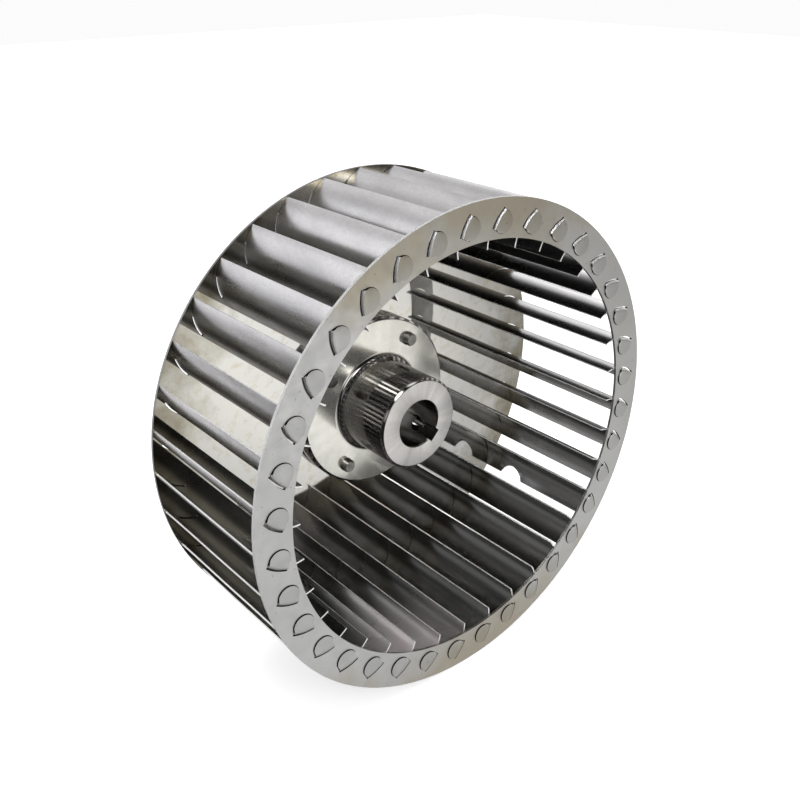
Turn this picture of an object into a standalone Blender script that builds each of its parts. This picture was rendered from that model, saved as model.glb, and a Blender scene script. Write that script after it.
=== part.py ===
"""Single-inlet centrifugal blower wheel with 36 forward-curved blades on a keyed hub.

Metres, +Z up. The wheel stands upright with its axis along Y and its inlet towards -Y.
Depths are measured along +Y from the front face of the inlet ring. Clock angles are in
degrees from +Z, clockwise as seen from the inlet. A blade is drawn at twelve o'clock, with
X along the rim (clockwise) and Z outwards, and is then turned about Y to its clock angle.
"""

import math

import bmesh
import bpy
from mathutils import Matrix, Vector

# Wheel
WHEEL_RADIUS = 0.140
EYE_RADIUS = 0.119
PLATE = 0.0015
DISC_DEPTH = 0.097
GAP = 0.0003
ROUND_STEPS = 72

# Blades: one bent sheet each, an arc in section, with a folded tab at both ends
BLADE_COUNT = 36
FIRST_BLADE_CLOCK = 6.476
BLADE_SHEET = 0.0010
ARC_CENTRE = (0.0162, 0.1163)
ARC_RADIUS = 0.02355
ARC_OUTER = 107.0
ARC_INNER = 186.9
TAB_OUTER = 131.7
TAB_INNER = 160.3
PLAIN_STEPS = 2
TAB_STEPS = 6
TAB_STRAIGHT = 0.0034
TAB_ROUND = 0.0059
TAB_LEAN = 0.0004
SLOT_ROOM_INSIDE = 0.0003
SLOT_ROOM_OUTSIDE = 0.0007
SLOT_END_ROOM = 2.0

# Clearance notch drilled in the tip of one blade, in line with the hub's grub screw hole
NOTCHED_BLADE = 13
NOTCH_RADIUS = 0.01025
NOTCH_CLOCK = 131.7
NOTCH_DEPTH = 0.0728
NOTCH_INNER = 0.130

# Hub: barrel, flange and rear spigot turned from one bar
BORE_RADIUS = 0.014
BORE_CHAMFER = 0.00075
BARREL_RADIUS = 0.0277
BARREL_CHAMFER = 0.0014
BARREL_DEPTH = 0.048
FLANGE_DEPTH = 0.087
FLANGE_RADIUS = 0.053
FLANGE_CHAMFER = 0.0014
FILLET = 0.004
FILLET_STEPS = 4
SPIGOT_PROUD = 0.002
HUB_STEPS = 60
KEY_CLOCK = 135.0
KEYWAY_WIDTH = 0.008
KEYWAY_REACH = 0.0173

# Tapped hole for a grub screw, through the barrel's wall at the keyway
GRUB_HOLE_RADIUS = 0.0048
GRUB_HOLE_CLOCK = 130.6
GRUB_HOLE_DEPTH = 0.0645

# Flange screws, put in from behind, with their ends standing out of the flange's front face
SCREW_COUNT = 4
SCREW_PITCH_RADIUS = 0.0425
FIRST_SCREW_CLOCK = 36.1
SCREW_HOLE_RADIUS = 0.0043
SHANK_RADIUS = SCREW_HOLE_RADIUS - GAP
SHANK_CHAMFER = 0.0008
SHANK_END_DEPTH = 0.0828
HEAD_ACROSS_FLATS = 0.013
HEAD_HEIGHT = 0.0053
SCREW_STEPS = 24

# Depths that follow, and the shift that puts the origin at the middle of the whole wheel
TAB_SEAT = GAP + BLADE_SHEET / 2
BLADE_FRONT = PLATE + GAP
BLADE_REAR = DISC_DEPTH - GAP
DISC_REAR = DISC_DEPTH + PLATE
FRONT_TAB_DEPTH = -TAB_SEAT
REAR_TAB_DEPTH = DISC_REAR + TAB_SEAT
HEAD_SEAT = DISC_REAR + GAP
HEAD_END = HEAD_SEAT + HEAD_HEIGHT
SPIGOT_END = DISC_REAR + SPIGOT_PROUD
SHIFT = (GAP + BLADE_SHEET - HEAD_END) / 2


def clear_scene():
    """Remove every object that the start-up file brought."""
    for item in list(bpy.data.objects):
        bpy.data.objects.remove(item, do_unlink=True)


def new_collection(name):
    """A collection linked to the scene."""
    group = bpy.data.collections.new(name)
    bpy.context.scene.collection.children.link(group)
    return group


def metal(name, colour, roughness, metallic=1.0):
    """A Principled metal finish."""
    finish = bpy.data.materials.new(name)
    finish.use_nodes = True
    shader = finish.node_tree.nodes["Principled BSDF"]
    shader.inputs["Base Color"].default_value = (*colour, 1.0)
    shader.inputs["Metallic"].default_value = metallic
    shader.inputs["Roughness"].default_value = roughness
    return finish


def add_part(name, mesh, finish, group):
    """An object for a mesh, in a collection, with its finish."""
    part = bpy.data.objects.new(name, mesh)
    if finish is not None and not mesh.materials:
        mesh.materials.append(finish)
    group.objects.link(part)
    return part


def add_cutter(name, mesh, group):
    """An object that only cuts, drawn as wire and left out of renders."""
    cutter = add_part(name, mesh, None, group)
    cutter.hide_render = True
    cutter.display_type = "WIRE"
    return cutter


def to_mesh(name, bm):
    """The mesh of a finished bmesh."""
    mesh = bpy.data.meshes.new(name)
    bm.to_mesh(mesh)
    bm.free()
    return mesh


def clocked(clock):
    """The turn from twelve o'clock to a clock angle."""
    return Matrix.Rotation(math.radians(clock), 4, "Y")


def at_depth(depth):
    """The Y of a depth behind the front face."""
    return SHIFT + depth


def subtract(part, cutter):
    """Cut one object with another."""
    cut = part.modifiers.new("cut_" + cutter.name, "BOOLEAN")
    cut.operation = "DIFFERENCE"
    cut.solver = "EXACT"
    cut.object = cutter


def thicken(part, thickness):
    """Give an open sheet its thickness, half to each side."""
    wall = part.modifiers.new("sheet", "SOLIDIFY")
    wall.thickness = thickness
    wall.offset = 0.0
    wall.use_even_offset = True


def turned(name, profile, steps, finish, group):
    """A turned solid: a closed profile of (radius, depth) corners swept about the Y axis.

    The profile runs forwards along its outer side and back along its inner side.
    """
    bm = bmesh.new()
    corners = [bm.verts.new((radius, at_depth(depth), 0.0)) for radius, depth in profile]
    for start, end in zip(corners, corners[1:] + corners[:1]):
        bm.edges.new((start, end))
    part = add_part(name, to_mesh(name, bm), finish, group)
    sweep = part.modifiers.new("turn", "SCREW")
    sweep.axis = "Y"
    sweep.steps = steps
    sweep.render_steps = steps
    sweep.use_merge_vertices = True
    sweep.merge_threshold = 0.00001
    # Half a step of turn puts a flat of the rim, and not a corner, at the bottom
    part.rotation_euler.y = math.pi / steps
    return part


def round_bar(radius, length, steps, matrix):
    """A cylinder or prism along Z from the matrix's origin."""
    bm = bmesh.new()
    bmesh.ops.create_cone(
        bm, cap_ends=True, segments=steps, radius1=radius, radius2=radius, depth=length,
        matrix=matrix @ Matrix.Translation((0.0, 0.0, length / 2)))
    return bm


def joined(*pieces):
    """One bmesh that holds several, as separate bodies."""
    whole = bmesh.new()
    for piece in pieces:
        mesh = to_mesh("piece", piece)
        whole.from_mesh(mesh)
        bpy.data.meshes.remove(mesh)
    return whole


def arc_point(angle, radius=ARC_RADIUS, depth=0.0):
    """A point of the blade's section at twelve o'clock, by its angle about the arc's centre."""
    turn = math.radians(angle)
    across = ARC_CENTRE[0] + radius * math.cos(turn)
    outwards = ARC_CENTRE[1] + radius * math.sin(turn)
    return Vector((across, at_depth(depth), outwards))


def arc_angle(point):
    """The angle of a point about the centre of the blade's arc."""
    turn = math.atan2(point.z - ARC_CENTRE[1], point.x - ARC_CENTRE[0])
    return math.degrees(turn) % 360.0


def spaced(start, end, steps):
    """Evenly spaced angles, without the last one."""
    return [start + (end - start) * step / steps for step in range(steps)]


def extrude_line(bm, edges, offset):
    """Draw a row of edges out into faces, and give the new row of edges."""
    new = bmesh.ops.extrude_edge_only(bm, edges=edges)["geom"]
    verts = [item for item in new if isinstance(item, bmesh.types.BMVert)]
    bmesh.ops.translate(bm, verts=verts, vec=offset)
    row = set(verts)
    return [item for item in new if isinstance(item, bmesh.types.BMEdge) and set(item.verts) <= row]


def tab_outline(angle):
    """The far edge of a folded tab, a half circle, for an angle along its fold line."""
    outer = arc_point(TAB_OUTER)
    inner = arc_point(TAB_INNER)
    along = (outer - inner).normalized()
    inwards = Vector((ARC_CENTRE[0], at_depth(0.0), ARC_CENTRE[1])) - (outer + inner) / 2
    inwards.normalize()
    sweep = math.pi * (angle - TAB_OUTER) / (TAB_INNER - TAB_OUTER)
    middle = (outer + inner) / 2 + inwards * TAB_STRAIGHT + along * TAB_LEAN
    return middle + TAB_ROUND * (math.cos(sweep) * along + math.sin(sweep) * inwards)


def fold_tab(bm, row, seat_depth):
    """Run a tab from the blade's end through its slot, and fold it flat on the plate."""
    middle = [edge for edge in row
              if all(TAB_OUTER - 0.1 < arc_angle(vert.co) < TAB_INNER + 0.1 for vert in edge.verts)]
    reach = at_depth(seat_depth) - middle[0].verts[0].co.y
    fold = extrude_line(bm, middle, Vector((0.0, reach, 0.0)))
    rim = extrude_line(bm, fold, Vector((0.0, 0.0, 0.0)))
    for vert in {vert for edge in rim for vert in edge.verts}:
        far = tab_outline(arc_angle(vert.co))
        vert.co.x = far.x
        vert.co.z = far.z


def blade_mesh():
    """The middle surface of one blade at twelve o'clock, with both tabs folded."""
    angles = spaced(ARC_OUTER, TAB_OUTER, PLAIN_STEPS)
    angles += spaced(TAB_OUTER, TAB_INNER, TAB_STEPS)
    angles += spaced(TAB_INNER, ARC_INNER, PLAIN_STEPS) + [ARC_INNER]
    bm = bmesh.new()
    line = [bm.verts.new(arc_point(angle, depth=BLADE_FRONT)) for angle in angles]
    front = [bm.edges.new(pair) for pair in zip(line, line[1:])]
    rear = extrude_line(bm, front, Vector((0.0, BLADE_REAR - BLADE_FRONT, 0.0)))
    fold_tab(bm, front, FRONT_TAB_DEPTH)
    fold_tab(bm, rear, REAR_TAB_DEPTH)
    bmesh.ops.recalc_face_normals(bm, faces=bm.faces)
    return to_mesh("blade", bm)


def make_blades(finish, group, cutters):
    """The blades, all from one bent sheet, and the notch in one of them."""
    mesh = blade_mesh()
    place = clocked(NOTCH_CLOCK) @ Matrix.Translation((0.0, at_depth(NOTCH_DEPTH), NOTCH_INNER))
    reach = WHEEL_RADIUS + PLATE - NOTCH_INNER
    drill = round_bar(NOTCH_RADIUS, reach, SCREW_STEPS, place)
    notch_cutter = add_cutter("notch_cutter", to_mesh("notch", drill), cutters)
    for number in range(1, BLADE_COUNT + 1):
        blade = add_part(f"blade_{number:02d}", mesh, finish, group)
        clock = FIRST_BLADE_CLOCK + (number - 1) * 360.0 / BLADE_COUNT
        blade.rotation_euler.y = math.radians(clock)
        thicken(blade, BLADE_SHEET)
        if number == NOTCHED_BLADE:
            subtract(blade, notch_cutter)


def make_slot_cutter(cutters):
    """One slot for each blade's tab, as deep as the wheel, to cut the ring and the disc."""
    room = (SLOT_ROOM_OUTSIDE - SLOT_ROOM_INSIDE) / 2
    bm = bmesh.new()
    angles = spaced(TAB_OUTER - SLOT_END_ROOM, TAB_INNER + SLOT_END_ROOM, TAB_STEPS)
    angles.append(TAB_INNER + SLOT_END_ROOM)
    line = [bm.verts.new(arc_point(angle, ARC_RADIUS + room, -PLATE)) for angle in angles]
    front = [bm.edges.new(pair) for pair in zip(line, line[1:])]
    extrude_line(bm, front, Vector((0.0, DISC_REAR + 2 * PLATE, 0.0)))
    bmesh.ops.rotate(bm, verts=bm.verts, matrix=clocked(FIRST_BLADE_CLOCK).to_3x3())
    bmesh.ops.spin(
        bm, geom=bm.verts[:] + bm.edges[:] + bm.faces[:], use_duplicate=True,
        axis=(0.0, 1.0, 0.0), steps=BLADE_COUNT - 1,
        angle=math.tau * (BLADE_COUNT - 1) / BLADE_COUNT)
    bmesh.ops.recalc_face_normals(bm, faces=bm.faces)
    cutter = add_cutter("slot_cutter", to_mesh("slots", bm), cutters)
    thicken(cutter, BLADE_SHEET + SLOT_ROOM_INSIDE + SLOT_ROOM_OUTSIDE)
    return cutter


def plate_profile(inner, outer, front, rear):
    """The section of a flat ring."""
    return [(inner, rear), (outer, rear), (outer, front), (inner, front)]


def make_plates(finish, group, slots, screw_holes):
    """The inlet ring and the back disc, both slotted for the tabs."""
    eye = plate_profile(EYE_RADIUS, WHEEL_RADIUS, 0.0, PLATE)
    ring = turned("front_ring", eye, ROUND_STEPS, finish, group)
    subtract(ring, slots)
    seat = BARREL_RADIUS + GAP
    disc = turned("back_disc", plate_profile(seat, WHEEL_RADIUS, DISC_DEPTH, DISC_REAR),
                  ROUND_STEPS, finish, group)
    subtract(disc, slots)
    subtract(disc, screw_holes)


def hub_profile():
    """The hub's section, from the rear of the bore round the outside and back."""
    flange_rear = DISC_DEPTH - GAP
    profile = [
        (BORE_RADIUS + BORE_CHAMFER, SPIGOT_END),
        (BARREL_RADIUS, SPIGOT_END),
        (BARREL_RADIUS, flange_rear),
        (FLANGE_RADIUS, flange_rear),
        (FLANGE_RADIUS, FLANGE_DEPTH + FLANGE_CHAMFER),
        (FLANGE_RADIUS - FLANGE_CHAMFER, FLANGE_DEPTH),
    ]
    for step in range(FILLET_STEPS + 1):
        turn = math.pi / 2 * step / FILLET_STEPS
        radius = BARREL_RADIUS + FILLET * (1 - math.sin(turn))
        profile.append((radius, FLANGE_DEPTH - FILLET * (1 - math.cos(turn))))
    profile += [
        (BARREL_RADIUS, BARREL_DEPTH + BARREL_CHAMFER),
        (BARREL_RADIUS - BARREL_CHAMFER, BARREL_DEPTH),
        (BORE_RADIUS + BORE_CHAMFER, BARREL_DEPTH),
        (BORE_RADIUS, BARREL_DEPTH + BORE_CHAMFER),
        (BORE_RADIUS, SPIGOT_END - BORE_CHAMFER),
    ]
    return profile


def screw_place(number, depth):
    """The place of a flange screw at a depth, with Z running backwards along the axis."""
    clock = FIRST_SCREW_CLOCK + number * 360.0 / SCREW_COUNT
    station = Matrix.Translation((0.0, at_depth(depth), SCREW_PITCH_RADIUS))
    return clocked(clock) @ station @ Matrix.Rotation(-math.pi / 2, 4, "X")


def make_screw_hole_cutter(cutters):
    """The tapped holes, through the flange and the disc."""
    length = DISC_REAR - FLANGE_DEPTH + 2 * PLATE
    holes = joined(*[round_bar(SCREW_HOLE_RADIUS, length, SCREW_STEPS,
                               screw_place(number, FLANGE_DEPTH - PLATE))
                     for number in range(SCREW_COUNT)])
    return add_cutter("screw_hole_cutter", to_mesh("screw_holes", holes), cutters)


def make_keyway_cutter(cutters):
    """A bar along the bore, from its middle out to the bottom of the keyway."""
    length = SPIGOT_END - BARREL_DEPTH + 2 * PLATE
    middle = at_depth((SPIGOT_END + BARREL_DEPTH) / 2)
    place = clocked(KEY_CLOCK) @ Matrix.Translation((0.0, middle, KEYWAY_REACH / 2))
    bm = bmesh.new()
    bmesh.ops.create_cube(bm, size=1.0)
    bmesh.ops.scale(bm, verts=bm.verts, vec=(KEYWAY_WIDTH, length, KEYWAY_REACH))
    bm.transform(place)
    return add_cutter("keyway_cutter", to_mesh("keyway", bm), cutters)


def make_hub(finish, group, cutters, screw_holes):
    """The hub, with its keyway, its tapped holes and the grub screw's hole."""
    hub = turned("hub", hub_profile(), HUB_STEPS, finish, group)
    subtract(hub, make_keyway_cutter(cutters))
    subtract(hub, screw_holes)
    start = Matrix.Translation((0.0, at_depth(GRUB_HOLE_DEPTH), 0.0))
    drill = round_bar(GRUB_HOLE_RADIUS, 2 * BARREL_RADIUS, SCREW_STEPS,
                      clocked(GRUB_HOLE_CLOCK) @ start)
    subtract(hub, add_cutter("grub_hole_cutter", to_mesh("drill", drill), cutters))


def make_shank(number, cutters):
    """A flange screw's shank, from inside its head to its chamfered end."""
    length = HEAD_SEAT + PLATE - SHANK_END_DEPTH
    bm = round_bar(SHANK_RADIUS, length, SCREW_STEPS, screw_place(number, SHANK_END_DEPTH))
    shank = add_cutter(f"shank_{number + 1}", to_mesh("shank", bm), cutters)
    ends = shank.modifiers.new("ends", "BEVEL")
    ends.width = SHANK_CHAMFER
    ends.segments = 1
    ends.limit_method = "ANGLE"
    ends.angle_limit = math.radians(60)
    return shank


def make_flange_screws(finish, group, cutters):
    """Hexagon screws, each a head fused to its shank."""
    corner = HEAD_ACROSS_FLATS / math.sqrt(3)
    for number in range(SCREW_COUNT):
        head = round_bar(corner, HEAD_HEIGHT, 6, screw_place(number, HEAD_SEAT))
        screw = add_part(f"flange_screw_{number + 1}", to_mesh("head", head), finish, group)
        fuse = screw.modifiers.new("fuse", "BOOLEAN")
        fuse.operation = "UNION"
        fuse.solver = "EXACT"
        fuse.object = make_shank(number, cutters)


def make_wheel():
    """Put the whole wheel together."""
    clear_scene()
    wheel = new_collection("blower_wheel")
    cutters = new_collection("cutters")
    sheet = metal("satin_sheet", (0.56, 0.55, 0.54), 0.30)
    steel = metal("turned_steel", (0.50, 0.48, 0.46), 0.25)
    screws = metal("plated_screw", (0.40, 0.39, 0.37), 0.35)
    slots = make_slot_cutter(cutters)
    screw_holes = make_screw_hole_cutter(cutters)
    make_plates(sheet, wheel, slots, screw_holes)
    make_blades(sheet, wheel, cutters)
    make_hub(steel, wheel, cutters, screw_holes)
    make_flange_screws(screws, wheel, cutters)


make_wheel()
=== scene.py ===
"""The look of a single-inlet centrifugal blower wheel: rolled sheet, a turned hub and its screws.

The wheel stands on its rim with its axis along Y and its inlet towards -Y. Clock angles are in
degrees from +Z, clockwise as seen from the inlet. Lengths are in metres.
"""

import math

import bmesh
import bpy
import numpy as np
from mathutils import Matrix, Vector


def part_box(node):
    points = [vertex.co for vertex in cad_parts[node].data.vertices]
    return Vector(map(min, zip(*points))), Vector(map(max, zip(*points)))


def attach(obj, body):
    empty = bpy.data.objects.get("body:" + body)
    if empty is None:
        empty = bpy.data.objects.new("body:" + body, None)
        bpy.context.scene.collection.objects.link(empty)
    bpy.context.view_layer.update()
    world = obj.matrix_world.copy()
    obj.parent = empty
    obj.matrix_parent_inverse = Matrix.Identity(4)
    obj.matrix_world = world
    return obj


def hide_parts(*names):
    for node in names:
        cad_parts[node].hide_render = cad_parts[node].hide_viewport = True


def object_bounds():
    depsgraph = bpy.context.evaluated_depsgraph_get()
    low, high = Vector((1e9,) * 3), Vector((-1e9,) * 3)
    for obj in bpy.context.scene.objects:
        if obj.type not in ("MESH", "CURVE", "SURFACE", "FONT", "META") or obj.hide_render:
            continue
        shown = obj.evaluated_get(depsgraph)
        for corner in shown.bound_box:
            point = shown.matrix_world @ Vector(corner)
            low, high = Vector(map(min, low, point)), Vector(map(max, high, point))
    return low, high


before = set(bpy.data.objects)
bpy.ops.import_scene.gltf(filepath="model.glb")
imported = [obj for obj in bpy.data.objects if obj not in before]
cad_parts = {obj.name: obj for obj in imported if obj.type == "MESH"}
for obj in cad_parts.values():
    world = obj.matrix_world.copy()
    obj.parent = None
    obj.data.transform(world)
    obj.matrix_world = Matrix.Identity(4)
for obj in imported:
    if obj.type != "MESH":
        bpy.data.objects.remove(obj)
cad_box = [list(corner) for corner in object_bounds()]


# Inlet ring and back disc. Both are laser-cut from 1.5 mm rolled stainless sheet, the ring with
# a satin skin and the disc bright, nearly a mirror. Each has one curved slot for every blade. The
# blades' tabs pass through the slots and are folded flat, so a slit stays open beside each
# blade's outer side.

BLADES = sum(name.startswith("blade_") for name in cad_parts)
PITCH = 360.0 / BLADES
FIRST_CLOCK = 6.476
RING_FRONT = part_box("front_ring")[0].y
RING_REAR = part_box("front_ring")[1].y
DISC_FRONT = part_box("back_disc")[0].y
DISC_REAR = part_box("back_disc")[1].y
RIM_RADIUS = 0.13985
EYE_RADIUS = 0.119
SEAT_RADIUS = 0.0278
CUT_SKIN = 0.0001

# The blades' wall, drawn a little under its real 1 mm, and their arc at twelve o'clock: its
# centre, its radius, and the degrees round it between which the tab lies.
SHEET = 0.00085
ARC_ACROSS, ARC_OUT = 0.0162, 0.1163
ARC_RADIUS = 0.02355
TAB_OUTER, TAB_INNER = 131.7, 160.3

# The slot: its play inside the blade's arc, how far it stands open outside, and its ends.
SLOT_PLAY = 0.0003
SLOT_INSIDE = ARC_RADIUS - SHEET / 2 - SLOT_PLAY
RING_SLIT, DISC_SLIT = 0.0008, 0.0005
SLOT_END = 0.6

# The plates' grids: each sector's sides in degrees, and the steps across and round it.
SECTOR_START, SECTOR_END = -6.0, 4.0
SPLIT_INNER, SPLIT_OUTER = -4.0, 3.0
SIDE_STEPS = 6
WEB_STEPS = 4
BAND_STEPS = 9
SEAM = 0.00001


def turned_to(points, clock):
    """Points drawn at twelve o'clock, turned about the Y axis to a clock angle.

    x' = x cos + z sin and z' = z cos - x sin; clock may be an array that broadcasts.
    """
    turn = np.radians(clock)
    x, y, z = points[..., 0], points[..., 1], points[..., 2]
    return np.stack(np.broadcast_arrays(
        x * np.cos(turn) + z * np.sin(turn), y, z * np.cos(turn) - x * np.sin(turn)), axis=-1)


def grid_faces(rows, columns, wrap_rows=False, wrap_columns=False):
    """Four corner numbers for each cell of a grid whose points are counted row by row."""
    row = np.arange(rows if wrap_rows else rows - 1)[:, None]
    column = np.arange(columns if wrap_columns else columns - 1)[None, :]
    below, beside = (row + 1) % rows, (column + 1) % columns
    corners = (row * columns + column, row * columns + beside,
               below * columns + beside, below * columns + column)
    return np.stack(corners, axis=-1).reshape(-1, 4)


def surface(name, points, faces, merge=0.0):
    """A mesh object at the origin from arrays of points and faces, smooth, with seams merged."""
    mesh = bpy.data.meshes.new(name)
    mesh.from_pydata(points.reshape(-1, 3), [], faces)
    if merge:
        bm = bmesh.new()
        bm.from_mesh(mesh)
        bmesh.ops.remove_doubles(bm, verts=bm.verts, dist=merge)
        bmesh.ops.recalc_face_normals(bm, faces=bm.faces)
        bm.to_mesh(mesh)
        bm.free()
    mesh.shade_smooth()
    piece = bpy.data.objects.new(name, mesh)
    bpy.context.scene.collection.objects.link(piece)
    return piece


def thicken(piece, thickness, edge=0.0):
    """Give an open sheet its thickness, half to each side, and break its edges if asked.

    The faces at its edge take the finish that follows the sheet's own.
    """
    wall = piece.modifiers.new("thickness", "SOLIDIFY")
    wall.thickness = thickness
    wall.offset = 0.0
    wall.use_even_offset = True
    wall.material_offset_rim = 1
    if edge:
        broken = piece.modifiers.new("edges", "BEVEL")
        broken.width = edge
        broken.segments = 2
        broken.limit_method = "ANGLE"
        broken.angle_limit = math.radians(50)
        broken.harden_normals = True


def slot_side(radius, steps):
    """One long side of a slot, from its inner end to its outer end.

    It lies on an arc about the blade's centre. Its two end points are on the blade's own arc.
    """
    angle = np.linspace(TAB_INNER + SLOT_END, TAB_OUTER - SLOT_END, steps - 1)
    turn = np.radians(np.concatenate([angle[:1], angle, angle[-1:]]))
    reach = np.full(steps + 1, radius)
    reach[[0, -1]] = ARC_RADIUS
    return np.stack([ARC_ACROSS + reach * np.cos(turn), ARC_OUT + reach * np.sin(turn)], axis=-1)


def sector_side(side, inner, outer):
    """One side of a sector's border: along the inner rim, out, and back along the outer rim.

    It starts at SPLIT_INNER and ends at SPLIT_OUTER, where the slot's own ends point, so that no
    cell between the slot and the border folds over.
    """
    first = np.linspace(SPLIT_INNER, side, round(abs(side - SPLIT_INNER)) + 1)[:-1]
    last = np.linspace(side, SPLIT_OUTER, round(abs(side - SPLIT_OUTER)) + 1)[1:]
    turn = np.radians(np.concatenate([first, np.full(SIDE_STEPS + 1, side), last]))
    reach = np.concatenate([np.full(len(first), inner), np.linspace(inner, outer, SIDE_STEPS + 1),
                            np.full(len(last), outer)])
    return np.stack([reach * np.sin(turn), reach * np.cos(turn)], axis=-1)


def two_meshes(first, second):
    """Points and faces of two surfaces as one."""
    return (np.concatenate([first[0], second[0]]),
            np.concatenate([first[1], second[1] + len(first[0])]))


def slotted_band(inner, outer, depth, slit):
    """Points and faces of a flat ring with a slot in each sector, open by slit past the blade.

    Each half sector is a grid: one way runs along the slot's side, the other blends in a
    straight line from the slot to the sector's border.
    """
    clocks = FIRST_CLOCK + PITCH * np.arange(BLADES)
    blend = np.linspace(0.0, 1.0, WEB_STEPS + 1)[:, None, None]
    halves = []
    slot_outside = ARC_RADIUS + SHEET / 2 + slit
    for radius, side in ((slot_outside, SECTOR_START), (SLOT_INSIDE, SECTOR_END)):
        border = sector_side(side, inner, outer)
        flat = slot_side(radius, len(border) - 1) * (1 - blend) + border * blend
        patch = np.stack([flat[..., 0], np.full(flat.shape[:2], depth), flat[..., 1]], axis=-1)
        points = turned_to(patch[None], clocks[:, None, None])
        starts = patch[..., 0].size * np.arange(BLADES)[:, None, None]
        cells = grid_faces(*patch.shape[:2])[None] + starts
        halves.append((points.reshape(-1, 3), cells.reshape(-1, 4)))
    return two_meshes(*halves)


def plain_band(inner, outer, depth, steps):
    """Points and faces of a flat ring with no slots, in step with slotted_band's inner rim.

    Both walk their rims a degree at a time.
    """
    clocks = FIRST_CLOCK + np.arange(360)
    reach = np.linspace(inner, outer, steps)
    flat = np.zeros((steps, 1, 3))
    flat[:, 0, 1] = depth
    flat[:, 0, 2] = reach
    points = turned_to(flat, clocks[None])
    return points.reshape(-1, 3), grid_faces(steps, len(clocks), wrap_columns=True)


def add_node(finish, kind, **sockets):
    """A shader node with its sockets set."""
    node = finish.node_tree.nodes.new(kind)
    for socket, value in sockets.items():
        node.inputs[socket.replace("_", " ")].default_value = value
    return node


def noise(finish, stretch, scale, detail=3.0, rough=0.55, warp=0.0):
    """Noise on the piece's own place in space, stretched along an axis by a Mapping node."""
    links = finish.node_tree.links
    place = add_node(finish, "ShaderNodeTexCoord")
    mapping = add_node(finish, "ShaderNodeMapping", Scale=stretch)
    cloud = add_node(finish, "ShaderNodeTexNoise", Scale=scale, Detail=detail, Roughness=rough,
                     Distortion=warp)
    links.new(place.outputs["Object"], mapping.inputs["Vector"])
    links.new(mapping.outputs["Vector"], cloud.inputs["Vector"])
    return cloud.outputs["Fac"]


def ranged(finish, source, low, high, to_low=0.0, to_high=1.0):
    """A value carried from one range to another, and held at its ends."""
    node = add_node(finish, "ShaderNodeMapRange", From_Min=low, From_Max=high,
                    To_Min=to_low, To_Max=to_high)
    finish.node_tree.links.new(source, node.inputs["Value"])
    return node.outputs["Result"]


def drifted(finish, base, source, share):
    """A value with a share of another added to it."""
    node = finish.node_tree.nodes.new("ShaderNodeMath")
    node.operation = "MULTIPLY_ADD"
    node.inputs[1].default_value = share
    finish.node_tree.links.new(source, node.inputs[0])
    finish.node_tree.links.new(base, node.inputs[2])
    return node.outputs["Value"]


def blended(finish, factor, first, second):
    """A colour between two, by a factor."""
    node = finish.node_tree.nodes.new("ShaderNodeMix")
    node.data_type = "RGBA"
    colour_sockets = [socket for socket in node.inputs if socket.type == "RGBA"]
    colour_sockets[0].default_value = (*first, 1.0)
    colour_sockets[1].default_value = (*second, 1.0)
    finish.node_tree.links.new(factor, node.inputs[0])
    return [socket for socket in node.outputs if socket.type == "RGBA"][0]


def multiplied(finish, first, second):
    """The product of two colours."""
    node = finish.node_tree.nodes.new("ShaderNodeVectorMath")
    node.operation = "MULTIPLY"
    finish.node_tree.links.new(first, node.inputs[0])
    finish.node_tree.links.new(second, node.inputs[1])
    return node.outputs["Vector"]


def steel(name):
    """A bare metal finish and its shader, ready for a colour, a gloss and a bump."""
    finish = bpy.data.materials.new(name)
    finish.use_nodes = True
    shader = finish.node_tree.nodes["Principled BSDF"]
    shader.inputs["Metallic"].default_value = 1.0
    return finish, shader


def bumped(finish, shader, *layers):
    """Stack bumps, each a height source, its distance in metres and its strength."""
    links = finish.node_tree.links
    normal = None
    for height, distance, strength in layers:
        bump = add_node(finish, "ShaderNodeBump", Strength=strength, Distance=distance)
        links.new(height, bump.inputs["Height"])
        if normal is not None:
            links.new(normal, bump.inputs["Normal"])
        normal = bump.outputs["Normal"]
    links.new(normal, shader.inputs["Normal"])


def distance_out(finish):
    """The distance from the wheel's axis, as a value."""
    links = finish.node_tree.links
    place = add_node(finish, "ShaderNodeTexCoord")
    flat = finish.node_tree.nodes.new("ShaderNodeVectorMath")
    flat.operation = "MULTIPLY"
    flat.inputs[1].default_value = (1.0, 0.0, 1.0)
    reach = finish.node_tree.nodes.new("ShaderNodeVectorMath")
    reach.operation = "LENGTH"
    links.new(place.outputs["Object"], flat.inputs[0])
    links.new(flat.outputs["Vector"], reach.inputs[0])
    return reach.outputs["Value"]


def with_cut_rim(finish, shader, colour, roughness, rim_tone):
    """Join a colour and a roughness to a sheet's shader, with a rougher rim of its own tone."""
    links = finish.node_tree.links
    rim = ranged(finish, distance_out(finish),
                 RIM_RADIUS - 2 * CUT_SKIN, RIM_RADIUS - CUT_SKIN)
    mixed = finish.node_tree.nodes.new("ShaderNodeMix")
    mixed.data_type = "RGBA"
    sockets = [socket for socket in mixed.inputs if socket.type == "RGBA"]
    sockets[1].default_value = (rim_tone, rim_tone, rim_tone, 1.0)
    links.new(rim, mixed.inputs[0])
    links.new(colour, sockets[0])
    links.new([socket for socket in mixed.outputs if socket.type == "RGBA"][0],
              shader.inputs["Base Color"])
    links.new(drifted(finish, roughness, rim, 0.35), shader.inputs["Roughness"])


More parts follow.
